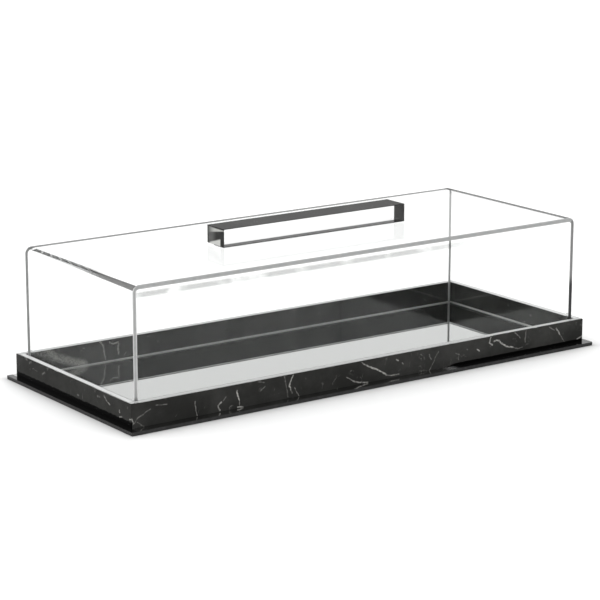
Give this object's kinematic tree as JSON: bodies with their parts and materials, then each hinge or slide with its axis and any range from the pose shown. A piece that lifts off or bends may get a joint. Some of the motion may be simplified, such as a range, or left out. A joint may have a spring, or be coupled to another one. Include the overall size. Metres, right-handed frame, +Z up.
{
  "type": "covered cake stand",
  "caption": "Long low cake tray on a thin mirror plate, with clear walls faced in black marble laminate and a lift-off clear box cover with a bar handle.",
  "frame": {"origin": "centre of the plate's underside, on the surface that the stand rests on", "axes": "+X along the length to the right, +Y to the rear, +Z up through the handle"},
  "size_m": [0.4, 0.169, 0.109],
  "materials": {
    "mirror_plate": "silver mirror top, dark polished edges",
    "clear_acrylic": "clear, polished",
    "black_marble_laminate": "glossy black marble with fine pale veins"
  },
  "bodies": {
    "tray": {"base_plate": "mirror_plate", "front_wall": "clear_acrylic", "rear_wall": "clear_acrylic", "left_wall": "clear_acrylic", "right_wall": "clear_acrylic", "front_wall_laminate": "black_marble_laminate", "rear_wall_laminate": "black_marble_laminate", "left_wall_laminate": "black_marble_laminate", "right_wall_laminate": "black_marble_laminate"},
    "cover": {"cover_shell": "clear_acrylic", "cover_front_panel": "clear_acrylic", "cover_rear_panel": "clear_acrylic", "handle_block": "clear_acrylic", "handle_top_laminate": "black_marble_laminate", "handle_base_laminate": "black_marble_laminate", "handle_left_laminate": "black_marble_laminate", "handle_right_laminate": "black_marble_laminate"}
  },
  "joints": [
    {"name": "cover_lift", "type": "slide", "parent": "tray", "child": "cover", "axis": [0, 0, 1], "range_m": [0, 0.12]}
  ]
}
